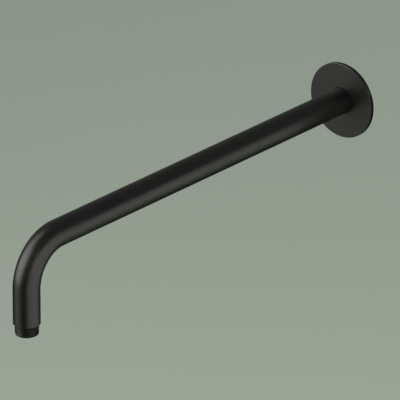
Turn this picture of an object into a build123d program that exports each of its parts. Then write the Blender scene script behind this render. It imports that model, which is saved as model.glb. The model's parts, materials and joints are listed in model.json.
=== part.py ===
"""Wall-mounted shower arm: a bent tube with a threaded connector in each end, and a slip-on wall flange.

Frame: the origin is where the arm's axis meets the finished wall. The wall is the plane Y = 0, with the room
on the -Y side and the plumbing on the +Y side. The arm reaches out along -Y and its outlet points down, -Z.
"""
import os

from build123d import *

# Arm tube: drawn tube with one bend (millimetres, as everywhere below)
tube_od = 24.0
tube_wall = 1.5
tube_set_in = 2.0  # how far the tube's end goes past the wall's face, hidden by the flange
reach = 425.0  # wall to the middle of the outlet
bend_radius = 40.0  # of the tube's centre line
drop = 71.0  # arm's axis down to the cut end of the tube
tube_deburr = 0.3  # inner and outer edge of each cut end

# Connectors: turned sleeves with a half-inch pipe thread, soldered into the tube's ends, which are the
# shoulders that a nut or an elbow meets
thread_od = 20.955
connector_bore = 15.0
spigot_length = 9.0  # the stretch inside the tube
spigot_lead = 0.8  # chamfers on the spigot's inner end
solder_gap = 0.2  # radial, between spigot and tube
outlet_thread_length = 10.0  # from the tube's end
inlet_thread_length = 20.0
thread_lead = 0.8  # chamfer where the thread starts
mouth_lead = 0.5  # chamfer on the bore, at the threaded end

# Wall flange: a turned disc that slips over the tube and covers the hole in the wall
flange_diameter = 70.0
flange_thickness = 4.0
flange_clearance = 0.1  # radial, round the tube
front_edge_break = 0.4
back_edge_break = 0.2
bore_lead = 0.3  # chamfer at each end of the bore
rim_width = 4.5  # the outer ring that bears on the wall
relief_depth = 1.4  # hollow in the back, between the rim and the hub
relief_corner = 0.5
hub_wall = 3.0  # metal round the grip ring's groove

# Grip ring: a rubber ring in the flange's bore, in the shape it takes when squeezed on the tube
ring_height = 1.55  # radial
ring_width = 2.0
ring_corner = 0.5  # broken off each corner of its section
ring_clearance = 0.03  # radial, to the tube and to the groove's floor
groove_side_gap = 0.12

# Sizes that follow from those above
tube_radius = tube_od / 2
tube_inner_radius = tube_radius - tube_wall
thread_radius = thread_od / 2
bore_radius = connector_bore / 2
spigot_radius = tube_inner_radius - solder_gap
flange_radius = flange_diameter / 2
flange_bore_radius = tube_radius + flange_clearance
ring_inner_radius = tube_radius + ring_clearance
ring_outer_radius = ring_inner_radius + ring_height
groove_radius = ring_outer_radius + ring_clearance
groove_width = ring_width + 2 * groove_side_gap
groove_middle = -flange_thickness / 2
hub_radius = groove_radius + hub_wall

# Each round piece is drawn about +Z of its own plane
wall_axis = Plane(origin=(0, 0, 0), x_dir=(1, 0, 0), z_dir=(0, 1, 0))
inlet_axis = wall_axis.offset(tube_set_in)
outlet_axis = Plane(origin=(0, -reach, -drop), x_dir=(1, 0, 0), z_dir=(0, 0, -1))


def turned(outline, axis_plane):
    """A round piece: an outline of (radius, height) points, revolved and set on its axis."""
    profile = Plane.XZ * make_face(Polyline(*outline, close=True))
    return axis_plane * revolve(profile, Axis.Z)


def lead_within(lead, wall):
    """A chamfer, kept to a third of the wall that it is cut on."""
    return min(lead, wall / 3)


def make_arm_tube():
    """The bent tube: a ring drawn along the arm, round the bend and down to the outlet."""
    path = FilletPolyline((0, tube_set_in, 0), (0, -reach, 0), (0, -reach, -drop), radius=bend_radius)
    section = inlet_axis * (Circle(tube_radius) - Circle(tube_inner_radius))
    tube = sweep(section, path=path)
    cut_ends = tube.faces().filter_by(GeomType.PLANE)
    return chamfer(cut_ends.edges(), lead_within(tube_deburr, tube_wall))


def make_connector(thread_length, axis_plane):
    """A turned connector: a spigot inside the tube, then the thread, at its outside diameter."""
    spigot_chamfer = lead_within(spigot_lead, spigot_radius - bore_radius)
    thread_chamfer = lead_within(thread_lead, thread_radius - bore_radius)
    mouth_chamfer = lead_within(mouth_lead, thread_radius - bore_radius)
    outline = [
        (bore_radius + spigot_chamfer, -spigot_length),
        (spigot_radius - spigot_chamfer, -spigot_length),
        (spigot_radius, -spigot_length + spigot_chamfer),
        (spigot_radius, 0),
        (thread_radius, 0),
        (thread_radius, thread_length - thread_chamfer),
        (thread_radius - thread_chamfer, thread_length),
        (bore_radius + mouth_chamfer, thread_length),
        (bore_radius, thread_length - mouth_chamfer),
        (bore_radius, -spigot_length + spigot_chamfer),
    ]
    return turned(outline, axis_plane)


def make_wall_flange():
    """The round flange: flat front, relieved back, and a bore with a groove for the grip ring."""
    front = -flange_thickness
    groove_back = groove_middle + groove_width / 2
    groove_front = groove_middle - groove_width / 2
    relief_outer = flange_radius - rim_width
    lead = lead_within(bore_lead, (flange_thickness - groove_width) / 2)
    outline = [
        (flange_bore_radius + lead, front),
        (flange_radius - front_edge_break, front),
        (flange_radius, front + front_edge_break),
        (flange_radius, -back_edge_break),
        (flange_radius - back_edge_break, 0),
        (relief_outer, 0),
        (relief_outer - relief_corner, -relief_depth),
        (hub_radius + relief_corner, -relief_depth),
        (hub_radius, 0),
        (flange_bore_radius + lead, 0),
        (flange_bore_radius, -lead),
        (flange_bore_radius, groove_back),
        (groove_radius, groove_back),
        (groove_radius, groove_front),
        (flange_bore_radius, groove_front),
        (flange_bore_radius, front + lead),
    ]
    return turned(outline, wall_axis)


def make_grip_ring():
    """The rubber ring: eight-sided in section, flat where it bears on the tube and in its groove."""
    corner = lead_within(ring_corner, min(ring_height, ring_width))
    front = groove_middle - ring_width / 2
    back = groove_middle + ring_width / 2
    outline = [
        (ring_inner_radius + corner, front),
        (ring_outer_radius - corner, front),
        (ring_outer_radius, front + corner),
        (ring_outer_radius, back - corner),
        (ring_outer_radius - corner, back),
        (ring_inner_radius + corner, back),
        (ring_inner_radius, back - corner),
        (ring_inner_radius, front + corner),
    ]
    return turned(outline, wall_axis)


nodes = {
    "arm_tube": make_arm_tube(),
    "inlet_connector": make_connector(inlet_thread_length, inlet_axis),
    "outlet_connector": make_connector(outlet_thread_length, outlet_axis),
    "wall_flange": make_wall_flange(),
    "grip_ring": make_grip_ring(),
}

os.makedirs("parts", exist_ok=True)
for name, solid in nodes.items():
    export_step(solid, f"parts/{name}.step")
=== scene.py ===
# %% [markdown]
# A black shower arm, dressed in Blender
#
# The arm is a brass tube with one bend. One end screws into the water pipe, behind a flat round flange that
# slides along the tube, and the other carries a pipe thread for a shower head. The solids of all its pieces
# are already made, to their real size. This lesson loads them as a fixed frame and builds a finished mesh for
# each one: cut threads where the solids are plain cylinders, eased edges where they are sharp, and the
# coating, brass and rubber on top.
#
# The frame comes first, because the outside sizes are read from it. Its box is kept until the end, where the
# dressed arm has to fit in it.

# %% Load the frame
import json
import math

import bmesh
import bpy
from mathutils import Matrix, Vector


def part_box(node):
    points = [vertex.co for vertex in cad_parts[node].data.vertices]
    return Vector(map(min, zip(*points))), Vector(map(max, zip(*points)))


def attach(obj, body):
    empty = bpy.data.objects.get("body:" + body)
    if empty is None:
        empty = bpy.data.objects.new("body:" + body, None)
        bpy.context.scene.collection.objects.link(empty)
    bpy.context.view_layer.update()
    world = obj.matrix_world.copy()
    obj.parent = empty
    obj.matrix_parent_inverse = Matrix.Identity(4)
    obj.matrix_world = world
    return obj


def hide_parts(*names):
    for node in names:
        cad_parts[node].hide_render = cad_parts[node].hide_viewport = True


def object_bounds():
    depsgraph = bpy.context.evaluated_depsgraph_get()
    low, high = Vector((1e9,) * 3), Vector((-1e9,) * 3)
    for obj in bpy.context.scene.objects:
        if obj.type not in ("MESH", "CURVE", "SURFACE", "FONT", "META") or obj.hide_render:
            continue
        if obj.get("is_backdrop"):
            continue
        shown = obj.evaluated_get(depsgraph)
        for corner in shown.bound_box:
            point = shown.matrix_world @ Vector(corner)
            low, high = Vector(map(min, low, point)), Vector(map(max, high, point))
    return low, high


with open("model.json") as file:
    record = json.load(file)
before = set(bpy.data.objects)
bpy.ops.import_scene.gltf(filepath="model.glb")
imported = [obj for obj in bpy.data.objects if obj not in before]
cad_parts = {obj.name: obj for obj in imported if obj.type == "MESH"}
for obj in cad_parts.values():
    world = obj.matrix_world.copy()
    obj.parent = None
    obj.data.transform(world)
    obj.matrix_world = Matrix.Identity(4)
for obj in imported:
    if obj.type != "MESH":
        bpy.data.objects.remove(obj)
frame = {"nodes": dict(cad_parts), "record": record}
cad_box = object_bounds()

print("nodes:", sorted(frame["nodes"]))

# %% [markdown]
# Sizes
#
# Blender works in metres, but a maker thinks of a tube fitting in millimetres, so the pieces are modelled in
# millimetres and brought down to metres as the last thing done to each. The outside sizes come from the
# boxes of the solids, and the thread from the mount that a shower head screws on to. Rounding to a tenth
# takes away what the facets of the solids leave out.

# %% Read the sizes in millimetres
MM = 0.001


def box_mm(node):
    """A solid's lowest and highest corner, in millimetres."""
    return [Vector([round(value / MM, 1) for value in corner]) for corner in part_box(node)]


mounts = {mount["name"]: mount for mount in frame["record"]["mounts"]}
tube_low, tube_high = box_mm("arm_tube")
tube_radius = tube_high.x
tube_end = tube_high.y  # the inlet's cut end, just behind the flange
reach = -tube_low.y - tube_radius  # the flange's back to the middle of the outlet
drop = -tube_low.z  # the arm's axis down to the cut end
thread_radius = mounts["outlet_thread"]["dims"]["r_mm"]
print(f"tube {2 * tube_radius:.1f} mm across, reach {reach:.1f}, drop {drop:.1f}, thread {2 * thread_radius}")

# %% [markdown]
# Colours
#
# A colour picked from a picture or a paint chart is an sRGB value, which is stored on a curve that suits the
# eye. The shader adds up light, so it needs the linear value. One function does the change for every colour.

# %% Turn a hex colour to linear
def linear(hex_colour):
    """An sRGB colour, written as six hex digits, as the linear red, green, blue and alpha of a shader."""
    channels = [int(hex_colour[i : i + 2], 16) / 255 for i in (1, 3, 5)]
    return [c / 12.92 if c <= 0.04045 else ((c + 0.055) / 1.055) ** 2.4 for c in channels] + [1.0]


print("mid grey #808080 is", round(linear("#808080")[0], 3), "in linear light")

# %% [markdown]
# Building with nodes
#
# A material is a small graph of nodes. In the editor it is drawn by hand. In a script, one helper that adds a
# node, sets it and links it keeps each material readable from top to bottom. The size of a pattern goes in as
# a scale, which is how many repeats fit in a metre, so a second helper works it out from millimetres. Most
# patterns here are noise textures, and the Detail of one is how many finer layers are laid over the first.

# %% Helpers for materials
MIX_FACTOR, MIX_A, MIX_B, MIX_RESULT = 0, 6, 7, 2  # where a Mix node keeps its colour sockets


def add_node(tree, kind, inputs=None, **settings):
    """Add a node. Settings are its own properties, and an input is a value or another node's output."""
    node = tree.nodes.new(kind)
    for name, value in settings.items():
        setattr(node, name, value)
    for socket, value in (inputs or {}).items():
        if isinstance(value, bpy.types.NodeSocket):
            tree.links.new(value, node.inputs[socket])
        else:
            node.inputs[socket].default_value = value
    return node


def per_metre(size_mm):
    """The texture scale at which one cell of a pattern is this wide."""
    return 1 / (size_mm * MM)


def new_material(name):
    """A material with a plain shader, and the coordinates of the piece that it is put on."""
    material = bpy.data.materials.new(name)
    material.use_nodes = True
    place = add_node(material.node_tree, "ShaderNodeTexCoord").outputs["Object"]
    return material, material.node_tree, material.node_tree.nodes["Principled BSDF"], place


print("a 2 mm pattern has a scale of", per_metre(2))

# %% [markdown]
# Satin black coating
#
# The outside is brass under a baked black coating, sprayed on as powder and melted in an oven. The film flows
# almost smooth, so it mirrors a lamp as a soft-edged band and leaves the rest nearly black. What tells it
# from plain black plastic is small: the film keeps a faint waviness, which painters call orange peel, and its
# gloss is not quite even, because it cured a little hotter in one place than in another.
#
# Real orange peel is about two millimetres from crest to crest and only a few microns high. It is drawn a
# little higher than it is, so that it still breaks the edge of a highlight seen from this far away.

# %% Black coating
COAT_BLACK = "#101010"
COAT_WARM = "#141312"
COAT_IOR = 1.5
COAT_ROUGHNESS_LOW = 0.3
COAT_ROUGHNESS_HIGH = 0.37
NOISE_LOW = 0.3  # most values of a noise texture lie between these two
NOISE_HIGH = 0.7
CURE_PATCH_MM = 45.0
PEEL_MM = 2.2
PEEL_HEIGHT_MM = 0.006


def make_black_coating():
    """Near-black baked powder: soft mirror, faint orange peel, gloss that wanders a little."""
    material, tree, shader, place = new_material("satin_black_powder_coating")
    cure = add_node(
        tree, "ShaderNodeTexNoise", {"Vector": place, "Scale": per_metre(CURE_PATCH_MM), "Detail": 3.0}
    ).outputs["Fac"]
    peel = add_node(
        tree, "ShaderNodeTexNoise", {"Vector": place, "Scale": per_metre(PEEL_MM), "Detail": 1.0}
    ).outputs["Fac"]
    tint = add_node(
        tree,
        "ShaderNodeMix",
        {MIX_FACTOR: cure, MIX_A: linear(COAT_BLACK), MIX_B: linear(COAT_WARM)},
        data_type="RGBA",
    )
    gloss = add_node(
        tree,
        "ShaderNodeMapRange",
        {
            "Value": cure,
            "From Min": NOISE_LOW,
            "From Max": NOISE_HIGH,
            "To Min": COAT_ROUGHNESS_LOW,
            "To Max": COAT_ROUGHNESS_HIGH,
        },
    )
    waves = add_node(tree, "ShaderNodeBump", {"Height": peel, "Distance": PEEL_HEIGHT_MM * MM})
    tree.links.new(tint.outputs[MIX_RESULT], shader.inputs["Base Color"])
    tree.links.new(gloss.outputs["Result"], shader.inputs["Roughness"])
    tree.links.new(waves.outputs["Normal"], shader.inputs["Normal"])
    shader.inputs["IOR"].default_value = COAT_IOR
    return material


black_coating = make_black_coating()
print("made", black_coating.name)

# %% [markdown]
# Bare brass
#
# The waterway inside is never coated, because the ends are plugged in the spray booth. What shows in the
# mouth of each end is bored brass: a warm yellow metal with fine rings left by the boring tool, and a rim
# where a little black crept past the plug. The rings run round the bore, so they are bands along its axis.
# Real tool marks are a tenth of a millimetre apart. They are drawn at four tenths, to show in a close view.
#
# A bent tube has no single axis, so its inside has only the dull, cloudy brass that drawing leaves.

# %% Bored and drawn brass
BRASS_YELLOW = "#c8a25a"
BRASS_DARK = "#8f6d38"
BRASS_ROUGHNESS = 0.38
BRASS_CLOUD_MM = 6.0
TOOL_MARK_MM = 0.4
TOOL_MARK_HEIGHT_MM = 0.012
TOOL_MARK_WANDER = 0.4  # radians of the wave
WAVE_PHASE = 20.0  # radians that a wave texture goes through in one unit of its scaled coordinate
OVERSPRAY_MM = 7.0  # from black at the mouth to bare brass
OVERSPRAY_RAGGED_MM = 3.5  # how far that fade wanders


def make_brass(name, axis=None, mouth_mm=0.0, inwards=1.0):
    """Bare brass. With an axis it is a bore: ringed by the tool, and blackened near its mouth."""
    material, tree, shader, place = new_material(name)
    cloud = add_node(
        tree, "ShaderNodeTexNoise", {"Vector": place, "Scale": per_metre(BRASS_CLOUD_MM), "Detail": 4.0}
    ).outputs["Fac"]
    tint = add_node(
        tree,
        "ShaderNodeMix",
        {MIX_FACTOR: cloud, MIX_A: linear(BRASS_YELLOW), MIX_B: linear(BRASS_DARK)},
        data_type="RGBA",
    ).outputs[MIX_RESULT]
    shader.inputs["Roughness"].default_value = BRASS_ROUGHNESS
    shader.inputs["Metallic"].default_value = 1.0
    if axis:
        along = add_node(tree, "ShaderNodeSeparateXYZ", {"Vector": place}).outputs[axis]
        ring_scale = per_metre(TOOL_MARK_MM) * math.tau / WAVE_PHASE
        rings = add_node(
            tree,
            "ShaderNodeTexWave",
            {"Vector": place, "Scale": ring_scale, "Distortion": TOOL_MARK_WANDER},
            bands_direction=axis,
        )
        marks = add_node(
            tree, "ShaderNodeBump", {"Height": rings.outputs["Fac"], "Distance": TOOL_MARK_HEIGHT_MM * MM}
        )
        ragged = add_node(
            tree,
            "ShaderNodeMath",
            {0: cloud, 1: inwards * OVERSPRAY_RAGGED_MM * MM, 2: along},
            operation="MULTIPLY_ADD",
        )
        bare = add_node(
            tree,
            "ShaderNodeMapRange",
            {
                "Value": ragged.outputs["Value"],
                "From Min": mouth_mm * MM,
                "From Max": (mouth_mm + inwards * OVERSPRAY_MM) * MM,
            },
            interpolation_type="SMOOTHSTEP",
        ).outputs["Result"]
        tint = add_node(
            tree,
            "ShaderNodeMix",
            {MIX_FACTOR: bare, MIX_A: linear(COAT_BLACK), MIX_B: tint},
            data_type="RGBA",
        ).outputs[MIX_RESULT]
        tree.links.new(bare, shader.inputs["Metallic"])
        tree.links.new(marks.outputs["Normal"], shader.inputs["Normal"])
    tree.links.new(tint, shader.inputs["Base Color"])
    return material


outlet_mouth = box_mm("outlet_connector")[0].z
inlet_mouth = box_mm("inlet_connector")[1].y
outlet_brass = make_brass("bored_brass_outlet", "Z", outlet_mouth, inwards=1.0)
inlet_brass = make_brass("bored_brass_inlet", "Y", inlet_mouth, inwards=-1.0)
drawn_brass = make_brass("drawn_brass")
print("bores open at z", outlet_mouth, "and y", inlet_mouth)

# %% [markdown]
# Rubber
#
# The ring that grips the tube inside the flange is moulded rubber: black, dull, and slightly grainy from the
# mould. It hides in its groove, so a rough shader with a fine grain is all that it needs.

# %% Moulded rubber
RUBBER_BLACK = "#1a1a1b"
RUBBER_BLOOM = "#262627"
RUBBER_ROUGHNESS = 0.7
RUBBER_GRAIN_MM = 0.3
RUBBER_GRAIN_HEIGHT_MM = 0.02


def make_rubber():
    """Moulded ring rubber: dull black with a grey bloom and a fine grain."""
    material, tree, shader, place = new_material("moulded_black_rubber")
    grain = add_node(
        tree, "ShaderNodeTexNoise", {"Vector": place, "Scale": per_metre(RUBBER_GRAIN_MM), "Detail": 2.0}
    ).outputs["Fac"]
    tint = add_node(
        tree,
        "ShaderNodeMix",
        {MIX_FACTOR: grain, MIX_A: linear(RUBBER_BLACK), MIX_B: linear(RUBBER_BLOOM)},
        data_type="RGBA",
    )
    rough = add_node(tree, "ShaderNodeBump", {"Height": grain, "Distance": RUBBER_GRAIN_HEIGHT_MM * MM})
    tree.links.new(tint.outputs[MIX_RESULT], shader.inputs["Base Color"])
    tree.links.new(rough.outputs["Normal"], shader.inputs["Normal"])
    shader.inputs["Roughness"].default_value = RUBBER_ROUGHNESS
    return material


ring_rubber = make_rubber()
print("made", ring_rubber.name)

# %% [markdown]
# Lathe and tube bender
#
# Every metal piece here is made on one of two machines, a lathe or a tube bender, and two operators of bmesh
# do the same. Spin turns an outline about an axis, as a lathe does, and extruding a ring of edges draws a
# tube. A script could also list every vertex and face by itself, but the operators keep the shape easy to
# read.
#
# A few short helpers cover all pieces. One draws an outline of points in radius and height, one rounds its
# corners, since no real edge is perfectly sharp, one turns it, and one pushes a ring of edges along. The last
# one finishes a piece: it welds and orients the mesh, brings it to metres and ties it to its solid. It also
# prints the volume, which would come out far too large or below zero if a face were turned inside out.

# %% Helpers for meshes
FACETS = 96  # round a full circle
WELD_MM = 0.01
SMOOTH_UP_TO = math.radians(28)  # a sharper edge stays a visible line
ROUNDING_STEPS = 3


def drawn_outline(bm, points, closed):
    """An outline of points in radius and height, drawn in the XY plane to be spun about Y."""
    verts = [bm.verts.new((radius, height, 0)) for radius, height in points]
    for pair in zip(verts, verts[1:] + verts[:1] if closed else verts[1:]):
        bm.edges.new(pair)
    return verts


def round_corners(bm, radius):
    """Round every corner of the outline drawn so far."""
    corners = [vert for vert in bm.verts if len(vert.link_edges) == 2]
    bmesh.ops.bevel(
        bm,
        geom=corners,
        offset=radius,
        offset_type="OFFSET",
        affect="VERTICES",
        segments=ROUNDING_STEPS,
        profile=0.5,
        material=-1,
        clamp_overlap=True,
    )


def ring_edges(verts):
    """The edges that join a ring of vertices."""
    ring = set(verts)
    edges = dict.fromkeys(edge for vert in verts for edge in vert.link_edges)
    return [edge for edge in edges if edge.verts[0] in ring and edge.verts[1] in ring]


def turn_about_y(bm, verts, steps=FACETS, angle=math.tau):
    """Spin an outline about the Y axis, as a lathe does."""
    bmesh.ops.spin(
        bm,
        geom=verts + ring_edges(verts),
        axis=(0, 1, 0),
        cent=(0, 0, 0),
        angle=angle,
        steps=steps,
        use_merge=True,
    )


def push_ring(bm, edges, offset):
    """Extrude a ring of edges, move the new ring and give back its edges."""
    made = bmesh.ops.extrude_edge_only(bm, edges=edges)["geom"]
    verts = [item for item in made if isinstance(item, bmesh.types.BMVert)]
    bmesh.ops.translate(bm, verts=verts, vec=offset)
    return ring_edges(verts)


def finish_piece(bm, name, node, body, materials):
    """Weld and orient a mesh, bring it to metres, and let it stand for its solid."""
    bmesh.ops.remove_doubles(bm, verts=bm.verts, dist=WELD_MM)
    bmesh.ops.recalc_face_normals(bm, faces=bm.faces)
    open_edges = sum(not edge.is_manifold for edge in bm.edges)
    volume = bm.calc_volume(signed=True)
    bmesh.ops.scale(bm, verts=bm.verts, vec=(MM, MM, MM))
    mesh = bpy.data.meshes.new(name)
    bm.to_mesh(mesh)
    bm.free()
    for material in materials:
        mesh.materials.append(material)
    mesh.shade_smooth()
    mesh.set_sharp_from_angle(angle=SMOOTH_UP_TO)
    piece = bpy.data.objects.new(name, mesh)
    bpy.context.scene.collection.objects.link(piece)
    flats = piece.modifiers.new("flat_faces_stay_flat", "WEIGHTED_NORMAL")
    flats.keep_sharp = True
    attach(piece, body)
    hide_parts(node)
    print(f"{name}: {len(mesh.polygons)} faces, {open_edges} open edges, {volume:.0f} mm3, for {node}")


print("a full turn has", FACETS, "facets")

# %% [markdown]
# The bent tube
#
# The arm is one length of drawn tube, bent on a mandrel so that the bend stays round. A curve with a bevel
# could make it, but its rings would need fitting to the ends. Here a circle is pushed along the arm, spun a
# quarter turn about the middle of the bend and pushed down to the outlet, once for the inside and once for
# the outside. A bridge could join the two at each end, but between circles that lie in one plane it can come
# out twisted. So the rims are turned, with the round edges that a deburring tool leaves, and welded on.
#
# The threaded sleeves are soldered in before the arm is coated. So the black also covers a short lip inside
# each end, as far as the spray reaches round the thread, and the rest of the inside stays bare. A turned rim
# is as long as that lip.

# %% Coated tube
TUBE_WALL = 1.5
BEND_RADIUS = 40.0  # to the middle of the tube
BEND_STEPS = 40
DEBURR = 0.3
COATED_LIP = 3.0
BARE = 1  # place of the bare brass in a piece's list of materials, after the coating

tube_bore = tube_radius - TUBE_WALL
bend_start = BEND_RADIUS - reach
bend_middle = (0, bend_start, -BEND_RADIUS)
quarter_turn = math.radians(90)
inlet_end = Matrix.Translation((0, tube_end, 0))
outlet_end = Matrix.Translation((0, -reach, -drop)) @ Matrix.Rotation(-quarter_turn, 4, "X")


def draw_tube(bm, radius):
    """The inside or the outside of the tube, from the inlet's rim round the bend to the outlet's rim."""
    first = tube_end - COATED_LIP
    upright = Matrix.Translation((0, first, 0)) @ Matrix.Rotation(quarter_turn, 4, "X")
    circle = bmesh.ops.create_circle(bm, radius=radius, segments=FACETS, matrix=upright)
    before_bend = push_ring(bm, ring_edges(circle["verts"]), (0, bend_start - first, 0))
    bend = bmesh.ops.spin(
        bm, geom=before_bend, axis=(1, 0, 0), cent=bend_middle, angle=quarter_turn, steps=BEND_STEPS
    )
    after_bend = [item for item in bend["geom_last"] if isinstance(item, bmesh.types.BMEdge)]
    push_ring(bm, after_bend, (0, 0, BEND_RADIUS - drop + COATED_LIP))


def turn_rim(bm, place):
    """A cut end with its coated lips. It is turned about +Y, with the cut at the origin, and put in place."""
    made_before = set(bm.verts)
    outline = [(tube_bore, -COATED_LIP), (tube_bore, 0), (tube_radius, 0), (tube_radius, -COATED_LIP)]
    drawn_outline(bm, outline, closed=False)
    round_corners(bm, DEBURR)
    turn_about_y(bm, [vert for vert in bm.verts if vert not in made_before])
    bmesh.ops.transform(bm, matrix=place, verts=[vert for vert in bm.verts if vert not in made_before])


bm = bmesh.new()
draw_tube(bm, tube_bore)
for face in bm.faces:
    face.material_index = BARE
draw_tube(bm, tube_radius)
turn_rim(bm, inlet_end)
turn_rim(bm, outlet_end)
finish_piece(bm, "coated_tube", "arm_tube", "arm", [black_coating, drawn_brass])

# %% [markdown]
# The pipe thread
#
# Each end of the tube holds a short turned sleeve with a half-inch pipe thread, soldered in. The solid shows
# the thread as a plain cylinder. Here it is cut for real, because the ridges are the one fine detail that the
# eye looks for at the outlet, and a bump would leave the edge of the cylinder straight.
#
# The thread form is drawn once, one pitch long, and a spin that also climbs carries it round as a screw. The
# climb per turn is the pitch, so copies of that turn, stacked a pitch apart, weld into one skin. The skin
# starts early and ends late. Two planes trim it to length, and its mouth is chamfered so that a nut can
# start.

# %% Thread
PITCH = 1.814  # 14 turns to the inch
THREAD_DEPTH = 0.640327 * PITCH  # of the 55 degree pipe thread
FLAT = PITCH / 6  # of the crest and the root
THREAD_ROUNDING = 0.12
FLANK_CUTS = 3
SPARE_TURNS = 2  # wound before the first crest, then trimmed off
TRIM_MM = 0.001  # a point this near to a trimming plane counts as on it
THREAD_TUCK = 0.4  # the thread starts just inside the tube
THREAD_LEAD = 0.8


def wind_thread(bm, length, first_crest):
    """A right-handed thread about +Y, wound past both of its ends."""
    root = thread_radius - THREAD_DEPTH
    start = first_crest - (SPARE_TURNS + 0.5) * PITCH  # the crest is half-way up the form
    turns = math.ceil((length - start) / PITCH)
    form = [
        (root, 0),
        (root, FLAT / 2),
        (thread_radius, (PITCH - FLAT) / 2),
        (thread_radius, (PITCH + FLAT) / 2),
        (root, PITCH - FLAT / 2),
        (root, PITCH),
    ]
    drawn_outline(bm, [(radius, start + height) for radius, height in form], closed=False)
    round_corners(bm, THREAD_ROUNDING)
    flanks = [edge for edge in bm.edges if edge.calc_length() > FLAT]
    bmesh.ops.subdivide_edges(bm, edges=flanks, cuts=FLANK_CUTS)
    bmesh.ops.spin(
        bm,
        geom=bm.verts[:] + bm.edges[:],
        axis=(0, 1, 0),
        cent=(0, 0, 0),
        angle=math.tau,
        steps=FACETS,
        dvec=(0, PITCH / FACETS, 0),
    )
    one_turn = bm.verts[:] + bm.edges[:] + bm.faces[:]
    for turn in range(1, turns):
        copied = bmesh.ops.duplicate(bm, geom=one_turn)["geom"]
        verts = [item for item in copied if isinstance(item, bmesh.types.BMVert)]
        bmesh.ops.translate(bm, verts=verts, vec=(0, turn * PITCH, 0))
    bmesh.ops.remove_doubles(bm, verts=bm.verts, dist=WELD_MM)


def end_rings(edges, middle):
    """The open edges below and above a height."""
    rims = [edge for edge in edges if edge.is_boundary]
    below = [edge for edge in rims if edge.verts[0].co.y < middle]
    return below, [edge for edge in rims if edge not in below]


def trim_thread(bm, length):
    """Trim a thread to its length and chamfer its mouth. Gives its inner ring and the ring at its mouth."""
    for height, outwards in ((-THREAD_TUCK, -1), (length, 1)):
        bmesh.ops.bisect_plane(
            bm,
            geom=bm.verts[:] + bm.edges[:] + bm.faces[:],
            dist=TRIM_MM,
            plane_co=(0, height, 0),
            plane_no=(0, outwards, 0),
            clear_outer=True,
        )
    for vert in bm.verts:
        limit = thread_radius - THREAD_LEAD + length - vert.co.y
        radius = math.hypot(vert.co.x, vert.co.z)
        if radius > limit:
            vert.co.x *= limit / radius
            vert.co.z *= limit / radius
    return end_rings(bm.edges, length / 2)


print(f"thread {THREAD_DEPTH:.2f} mm deep, with a pitch of {PITCH} mm")

# %% [markdown]
# The inlet
#
# The rest of a sleeve is turned from one outline: the spigot that sits in the tube, and the bore for the
# water. At the hidden end a bridge joins it to the thread. At the mouth the two end in one plane, and a fill
# closes the flat face. The coating covers the thread and that face, and the turned part stays bare brass.
#
# A sleeve is built about +Y, with the tube's cut end at the origin. The inlet points that way already, so it
# only has to be moved to its place.

# %% Inlet sleeve
SPIGOT_LENGTH = 9.0
SPIGOT_LEAD = 0.8
SPIGOT_TUCK = 1.0  # where the plain spigot takes over, inside the tube
SOLDER_GAP = 0.2
BORE_RADIUS = 7.5
MOUTH_LEAD = 0.5
INLET_FIRST_CREST = PITCH / 2


def make_sleeve(bm, length, first_crest):
    """A threaded sleeve about +Y. Its thread starts at the tube's end, which is the origin."""
    wind_thread(bm, length, first_crest)
    thread_inner, thread_mouth = trim_thread(bm, length)
    thread_faces = set(bm.faces)
    spigot_radius = tube_bore - SOLDER_GAP
    outline = [
        (spigot_radius, -SPIGOT_TUCK),
        (spigot_radius, SPIGOT_LEAD - SPIGOT_LENGTH),
        (spigot_radius - SPIGOT_LEAD, -SPIGOT_LENGTH),
        (BORE_RADIUS + SPIGOT_LEAD, -SPIGOT_LENGTH),
        (BORE_RADIUS, SPIGOT_LEAD - SPIGOT_LENGTH),
        (BORE_RADIUS, length - MOUTH_LEAD),
        (BORE_RADIUS + MOUTH_LEAD, length),
    ]
    turn_about_y(bm, drawn_outline(bm, outline, closed=False))
    bored = [face for face in bm.faces if face not in thread_faces]
    for face in bored:
        face.material_index = BARE
    bored_edges = dict.fromkeys(edge for face in bored for edge in face.edges)
    spigot_inner, bore_mouth = end_rings(bored_edges, length / 2)
    bmesh.ops.bridge_loops(bm, edges=thread_inner + spigot_inner)
    bmesh.ops.triangle_fill(bm, edges=thread_mouth + bore_mouth, use_beauty=True, normal=(0, 1, 0))


inlet_length = inlet_mouth - tube_end
bm = bmesh.new()
make_sleeve(bm, inlet_length, INLET_FIRST_CREST)
bmesh.ops.transform(bm, matrix=inlet_end, verts=bm.verts)
finish_piece(
    bm, "threaded_inlet", "inlet_connector", "arm", [black_coating, inlet_brass]
)

# %% [markdown]
# The outlet
#
# The outlet's sleeve is the same with a shorter thread. It is built about +Y like the other and then turned
# to point down. Its ridges are set so that a crest faces the camera at the height where the real one has it.

# %% Outlet sleeve
OUTLET_FIRST_CREST = 0.14  # below the tube's end, on the side that faces +X

outlet_length = -outlet_mouth - drop
bm = bmesh.new()
make_sleeve(bm, outlet_length, OUTLET_FIRST_CREST)
bmesh.ops.transform(bm, matrix=outlet_end, verts=bm.verts)
finish_piece(
    bm, "threaded_outlet", "outlet_connector", "arm", [black_coating, outlet_brass]
)

# %% [markdown]
# The flange
#
# The flange is turned from brass bar: a flat disc with a broken front edge, a bore for the tube with a groove
# for the grip ring, and a back that is hollowed so that only its rim and its hub bear. All of that is one
# outline and one full spin. The corners are rounded a little before the spin, which costs a few points and
# gives each edge the fine bright line that a coated edge has. The ring's sizes go to the hundredth, so its
# box is read without rounding.

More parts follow.
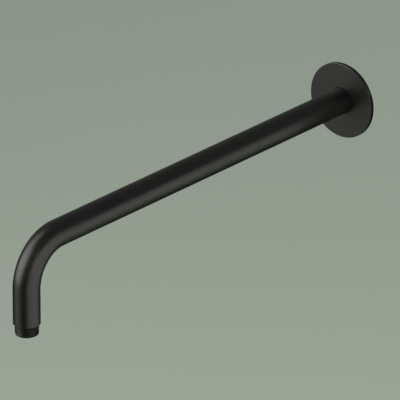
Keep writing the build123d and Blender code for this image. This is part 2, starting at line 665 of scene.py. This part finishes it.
# %% Flange
FLANGE_CLEARANCE = 0.1
FRONT_EDGE_BREAK = 0.4
BACK_EDGE_BREAK = 0.2
BORE_LEAD = 0.3
RIM_WIDTH = 4.5
RELIEF_DEPTH = 1.4
RELIEF_CORNER = 0.5
HUB_WALL = 3.0
GROOVE_GAP = 0.12
RING_CLEARANCE = 0.03
EDGE_ROUNDING = 0.1

flange_low, flange_high = box_mm("wall_flange")
flange_radius = flange_high.x
flange_front = flange_low.y
flange_bore = tube_radius + FLANGE_CLEARANCE
ring_low, ring_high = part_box("grip_ring")
ring_front, ring_back, ring_radius = ring_low.y / MM, ring_high.y / MM, ring_high.x / MM
groove_radius = ring_radius + RING_CLEARANCE
hub_radius = groove_radius + HUB_WALL
relief_radius = flange_radius - RIM_WIDTH

bm = bmesh.new()
drawn_outline(
    bm,
    [
        (flange_bore + BORE_LEAD, flange_front),
        (flange_radius - FRONT_EDGE_BREAK, flange_front),
        (flange_radius, flange_front + FRONT_EDGE_BREAK),
        (flange_radius, -BACK_EDGE_BREAK),
        (flange_radius - BACK_EDGE_BREAK, 0),
        (relief_radius, 0),
        (relief_radius - RELIEF_CORNER, -RELIEF_DEPTH),
        (hub_radius + RELIEF_CORNER, -RELIEF_DEPTH),
        (hub_radius, 0),
        (flange_bore + BORE_LEAD, 0),
        (flange_bore, -BORE_LEAD),
        (flange_bore, ring_back + GROOVE_GAP),
        (groove_radius, ring_back + GROOVE_GAP),
        (groove_radius, ring_front - GROOVE_GAP),
        (flange_bore, ring_front - GROOVE_GAP),
        (flange_bore, flange_front + BORE_LEAD),
    ],
    closed=True,
)
round_corners(bm, EDGE_ROUNDING)
turn_about_y(bm, bm.verts[:], steps=2 * FACETS)
finish_piece(bm, "flange_disc", "wall_flange", "flange", [black_coating])

# %% [markdown]
# The grip ring
#
# A rubber ring sits in the flange's groove and is squeezed between the groove and the tube, which keeps the
# flange where it is pushed to. Squeezed rubber has flats where it bears and bulges between them, so its
# section is a rectangle with large round corners.

# %% Rubber ring
RING_ROUNDING = 0.6

bm = bmesh.new()
ring_bore = tube_radius + RING_CLEARANCE
drawn_outline(
    bm,
    [(ring_bore, ring_front), (ring_radius, ring_front), (ring_radius, ring_back), (ring_bore, ring_back)],
    closed=True,
)
round_corners(bm, RING_ROUNDING)
turn_about_y(bm, bm.verts[:])
finish_piece(bm, "rubber_ring", "grip_ring", "grip_ring", [ring_rubber])

# %% [markdown]
# Floor
#
# The arm is held up by its inlet and touches nothing below, so the set is only a wide pale floor, far enough
# down that the arm's shadow falls out of view. Lamps that are placed for the arm light such a floor unevenly,
# and more lamps would spoil the arm. So the paint also glows a little of its own colour, but only for rays
# that come from the camera or from something that mirrors or is clear. It then looks pale from every side and
# in reflections, and the glow sheds no other light.
#
# Seen from below the floor is left clear, so that the outlet can be looked into from there.

# %% Pale floor
FLOOR_SAGE = "#bcc8ba"
FLOOR_MARBLING = "#b7c3b5"
FLOOR_ROUGHNESS = 0.9
FLOOR_DEPTH = 1.3
FLOOR_HALF_WIDTH = 30.0
FLOOR_CLOUD_MM = 900.0
FLOOR_GLOW = 0.32  # share of its own colour


def make_floor_paint():
    """Matt pale paint that glows for the eye, clear from below."""
    material, tree, shader, place = new_material("matt_pale_floor_paint")
    cloud = add_node(
        tree, "ShaderNodeTexNoise", {"Vector": place, "Scale": per_metre(FLOOR_CLOUD_MM)}
    ).outputs["Fac"]
    tint = add_node(
        tree,
        "ShaderNodeMix",
        {MIX_FACTOR: cloud, MIX_A: linear(FLOOR_SAGE), MIX_B: linear(FLOOR_MARBLING)},
        data_type="RGBA",
    )
    tree.links.new(tint.outputs[MIX_RESULT], shader.inputs["Base Color"])
    shader.inputs["Roughness"].default_value = FLOOR_ROUGHNESS
    rays = add_node(tree, "ShaderNodeLightPath").outputs
    seen = rays["Is Camera Ray"]
    for ray in ("Is Glossy Ray", "Is Transmission Ray"):
        seen = add_node(tree, "ShaderNodeMath", {0: seen, 1: rays[ray]}, operation="ADD").outputs["Value"]
    glow = add_node(tree, "ShaderNodeMath", {0: seen, 1: FLOOR_GLOW}, operation="MULTIPLY")
    tree.links.new(tint.outputs[MIX_RESULT], shader.inputs["Emission Color"])
    tree.links.new(glow.outputs["Value"], shader.inputs["Emission Strength"])
    below = add_node(tree, "ShaderNodeNewGeometry").outputs["Backfacing"]
    clear = add_node(tree, "ShaderNodeBsdfTransparent").outputs["BSDF"]
    sides = add_node(tree, "ShaderNodeMixShader", {0: below, 1: shader.outputs["BSDF"], 2: clear})
    tree.links.new(sides.outputs["Shader"], tree.nodes["Material Output"].inputs["Surface"])
    return material


bm = bmesh.new()
bmesh.ops.create_grid(bm, x_segments=1, y_segments=1, size=FLOOR_HALF_WIDTH)
bmesh.ops.translate(bm, verts=bm.verts, vec=(0, 0, -FLOOR_DEPTH))
floor_mesh = bpy.data.meshes.new("floor")
bm.to_mesh(floor_mesh)
bm.free()
floor_mesh.materials.append(make_floor_paint())
floor = bpy.data.objects.new("floor", floor_mesh)
bpy.context.scene.collection.objects.link(floor)
floor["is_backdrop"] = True
print("floor", FLOOR_DEPTH, "m below the arm")

# %% [markdown]
# Camera
#
# The picture was taken with a long lens from far off, from in front of the arm, to its right and above. The
# angle, the distance and the lens were fitted to the outline of the arm, and the aim is the point in the
# middle of the picture. A camera looks along its own -Z, so it is turned until its +Z points straight away
# from the aim.

# %% Camera at the picture's angle
CAMERA_AZIMUTH = math.radians(40.632)
CAMERA_ELEVATION = math.radians(23.880)
CAMERA_DISTANCE = 6.262
CAMERA_AIM = Vector((0.0090, -0.2076, -0.0262))
CAMERA_SEES_TO = 100.0  # metres, past the far side of the floor
SENSOR_MM = 36.0
LENS_MM = 644.36


def from_aim(azimuth, elevation):
    """The direction from the arm to something at this azimuth and elevation. Azimuth 0 is straight out."""
    flat = math.cos(elevation)
    return Vector((math.sin(azimuth) * flat, -math.cos(azimuth) * flat, math.sin(elevation)))


camera_data = bpy.data.cameras.new("long_lens")
camera_data.sensor_width = SENSOR_MM
camera_data.lens = LENS_MM
camera_data.clip_end = CAMERA_SEES_TO
camera = bpy.data.objects.new("camera", camera_data)
camera_side = from_aim(CAMERA_AZIMUTH, CAMERA_ELEVATION)
camera.location = CAMERA_AIM + camera_side * CAMERA_DISTANCE
camera.rotation_euler = camera_side.to_track_quat("Z", "Y").to_euler()
bpy.context.scene.collection.objects.link(camera)
bpy.context.scene.camera = camera
print("camera at", [round(value, 3) for value in camera.location])

# %% [markdown]
# Light
#
# A satin black tube shows almost nothing but what it mirrors, so the lamps are placed by where their
# reflections lie. A large key softbox, high on the left, lights the outside of the bend, and a small one
# above it draws that highlight out along the top. A broad, weaker one, far round to the right, gives the grey
# band along the arm and the leg, and a narrow one over it carries the band round the bend. Another small one,
# low on the left, is what the face of the flange mirrors. The two large lamps have a grid on the front, set
# here as a narrower spread, which fades their reflection towards its edges. The room is a dim grey that keeps
# the dark side from going quite black.

# %% Softboxes and room
ROOM_GREY = "#6a6d69"
LAMP_WHITE = "#fffdf8"


def put_on_set(name, data):
    """Add a lamp or a piece of felt to the set, out of the camera's sight."""
    thing = bpy.data.objects.new(name, data)
    thing.visible_camera = False
    bpy.context.scene.collection.objects.link(thing)
    return thing


def stand_by_arm(thing, azimuth_deg, elevation_deg, distance):
    """Stand a lamp or a card to one side of the arm, so many metres off and turned to it."""
    side = from_aim(math.radians(azimuth_deg), math.radians(elevation_deg))
    thing.location = CAMERA_AIM + side * distance
    thing.rotation_euler = side.to_track_quat("Z", "Y").to_euler()


def add_softbox(name, width, height, watts, spread_deg, stand):
    """A rectangular lamp. Its stand is an azimuth, an elevation and a distance."""
    lamp = bpy.data.lights.new(name, "AREA")
    lamp.shape = "RECTANGLE"
    lamp.size = width
    lamp.size_y = height
    lamp.energy = watts
    lamp.spread = math.radians(spread_deg)
    lamp.color = linear(LAMP_WHITE)[:3]
    stand_by_arm(put_on_set(name, lamp), *stand)
    print(f"{name}: {width} x {height} m, {watts} W")


add_softbox("key_softbox", width=2.75, height=2.8, watts=39.5, spread_deg=120, stand=(-42, 25, 2.2))
add_softbox("top_softbox", width=0.42, height=0.42, watts=1.4, spread_deg=180, stand=(-61, 63, 1.24))
add_softbox("side_softbox", width=3.4, height=1.6, watts=12.2, spread_deg=140, stand=(93, -8, 1.4))
add_softbox("bend_softbox", width=1.5, height=0.55, watts=2.8, spread_deg=180, stand=(78, 22, 1.4))
add_softbox("low_softbox", width=0.8, height=0.55, watts=0.7, spread_deg=180, stand=(-35, -23, 1.5))
world = bpy.data.worlds.new("dim_studio")
world.use_nodes = True
world.node_tree.nodes["Background"].inputs["Color"].default_value = linear(ROOM_GREY)
bpy.context.scene.world = world
bpy.context.scene.view_settings.view_transform = "Standard"

# %% [markdown]
# Black cards
#
# On a black tube a dark line matters as much as a bright one. A smooth coating also mirrors more the flatter
# it is looked along, so its edges show what lies behind them. Photographers set cards of black felt, which
# they call flags, where a line has to go dark. One hangs in front, and the downward leg mirrors it along its
# middle. One on the left gives the leg and the bend their dark left edge, and one lies below and behind for
# the dark lower edge of the arm. One under the outlet darkens the chamfer above the thread.
#
# Felt is matt and nearly black, so it needs no pattern. It stays out of the camera's sight, as the lamps do,
# and casts no shadow, so the lamps shine past it.

# %% Felt cards
FELT_BLACK = "#0c0c0c"
FELT_ROUGHNESS = 1.0

felt = bpy.data.materials.new("black_felt")
felt.use_nodes = True
felt_shader = felt.node_tree.nodes["Principled BSDF"]
felt_shader.inputs["Base Color"].default_value = linear(FELT_BLACK)
felt_shader.inputs["Roughness"].default_value = FELT_ROUGHNESS


def cut_felt(bm, name):
    """A piece of black felt that only reflections show."""
    mesh = bpy.data.meshes.new(name)
    bm.to_mesh(mesh)
    bm.free()
    mesh.materials.append(felt)
    piece = put_on_set(name, mesh)
    piece.visible_diffuse = False
    piece.visible_shadow = False
    piece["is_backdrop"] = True
    return piece


def add_card(name, width, height, stand):
    """A flat card of felt. It stands as a softbox does."""
    bm = bmesh.new()
    bmesh.ops.create_grid(bm, x_segments=1, y_segments=1, size=0.5)  # a square of one metre
    bmesh.ops.scale(bm, verts=bm.verts, vec=(width, height, 1))
    stand_by_arm(cut_felt(bm, name), *stand)
    print(f"{name}: {width} x {height} m")


add_card("front_card", width=0.6, height=0.9, stand=(16, -17, 1.2))
add_card("left_card", width=0.7, height=0.8, stand=(-87, -18, 0.9))
add_card("low_card", width=1.0, height=0.9, stand=(-162, -36, 0.9))
add_card("under_card", width=0.5, height=0.5, stand=(-79, -74, 0.63))

# %% [markdown]
# Felt collar
#
# The end of the arm and the flange's rim also go dark, where they mirror what is close behind the flange. A
# card there would be most of what the flange's back mirrors, and would turn it black. So the last piece of
# felt is a part of a flat collar, parallel to the flange, with a hole that is wider than the flange.

# %% Felt collar
COLLAR_INSIDE = 48.0  # radius of its hole
COLLAR_OUTSIDE = 104.0
COLLAR_BEHIND = 15.0  # from the flange's back
COLLAR_TOP = math.radians(20)  # above the level of the arm, on the right
COLLAR_SWEEP = math.radians(100)  # from there down and round

bm = bmesh.new()
collar_outline = [(COLLAR_INSIDE, COLLAR_BEHIND), (COLLAR_OUTSIDE, COLLAR_BEHIND)]
turn_about_y(bm, drawn_outline(bm, collar_outline, closed=False), angle=COLLAR_SWEEP)
bmesh.ops.rotate(bm, verts=bm.verts, cent=(0, 0, 0), matrix=Matrix.Rotation(-COLLAR_TOP, 3, "Y"))
bmesh.ops.scale(bm, verts=bm.verts, vec=(MM, MM, MM))
cut_felt(bm, "felt_collar")
print("collar", 2 * COLLAR_OUTSIDE, "mm across")

# %% [markdown]
# Last look at the size
#
# The dressed arm may not be larger than its solids. Both boxes are printed side by side.

# %% Print the two boxes
dressed_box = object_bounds()
boxes = {"cad": [list(corner) for corner in cad_box], "dressed": [list(corner) for corner in dressed_box]}
for name, (low, high) in boxes.items():
    print(name, [round(value / MM, 2) for value in low], [round(value / MM, 2) for value in high])
